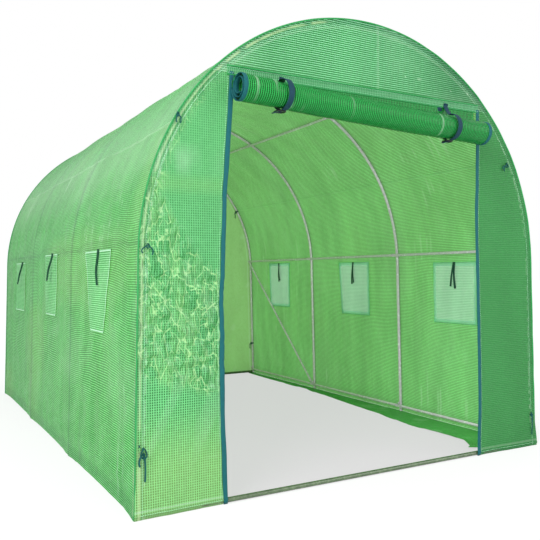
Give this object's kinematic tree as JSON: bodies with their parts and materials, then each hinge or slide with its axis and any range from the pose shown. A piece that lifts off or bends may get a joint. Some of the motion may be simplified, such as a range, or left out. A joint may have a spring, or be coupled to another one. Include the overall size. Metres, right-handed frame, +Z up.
{
  "type": "polytunnel greenhouse",
  "caption": "Walk-in garden tunnel: arched steel tube hoops under a ribbed translucent sheet cover, with a rolled-up door over an open doorway and small side windows.",
  "frame": {"origin": "on the ground, at the middle of the whole model's box", "axes": "+Z up; the tunnel runs along Y with its doorway facing -Y; +X is to the right of someone facing the back"},
  "size_m": [2.0854, 3.1284, 1.9479],
  "materials": {
    "steel_tube": "smooth grey coated steel tube, satin",
    "cover_sheet": "translucent green woven sheet with fine ribs, slightly glossy",
    "end_sheet": "translucent green woven sheet with fine ribs, creased, slightly glossy",
    "door_sheet": "rolled green woven sheet, several layers thick, satin",
    "binding": "teal woven tape, matt",
    "strap": "dark teal woven strap, matt",
    "piping": "dark green sewn edge",
    "window_mesh": "pale mint insect mesh under a clear flap, matt"
  },
  "bodies": {
    "root": {"front_hoop_legs": "steel_tube", "front_hoop_bows": "steel_tube", "front_hoop_crown": "steel_tube", "second_hoop_legs": "steel_tube", "second_hoop_bows": "steel_tube", "second_hoop_crown": "steel_tube", "third_hoop_legs": "steel_tube", "third_hoop_bows": "steel_tube", "third_hoop_crown": "steel_tube", "back_hoop_legs": "steel_tube", "back_hoop_bows": "steel_tube", "back_hoop_crown": "steel_tube", "left_side_purlin": "steel_tube", "right_side_purlin": "steel_tube", "left_roof_purlin": "steel_tube", "right_roof_purlin": "steel_tube", "left_ground_rail": "steel_tube", "right_ground_rail": "steel_tube", "front_ground_bar": "steel_tube", "back_ground_bar": "steel_tube", "left_brace": "steel_tube", "right_brace": "steel_tube", "hoop_ties": "binding", "left_wall_cover": "cover_sheet", "right_wall_cover": "cover_sheet", "left_shoulder_cover": "cover_sheet", "right_shoulder_cover": "cover_sheet", "left_roof_cover": "cover_sheet", "right_roof_cover": "cover_sheet", "crown_cover": "cover_sheet", "front_left_cover": "end_sheet", "front_right_cover": "end_sheet", "front_header_cover": "end_sheet", "back_wall_cover": "end_sheet", "edge_piping": "piping", "door_bindings": "binding", "header_band": "piping", "door_roll": "door_sheet", "roll_straps": "strap", "left_windows": "window_mesh", "right_windows": "window_mesh", "window_ties": "strap", "left_ground_flap": "cover_sheet", "right_ground_flap": "cover_sheet"}
  },
  "joints": []
}
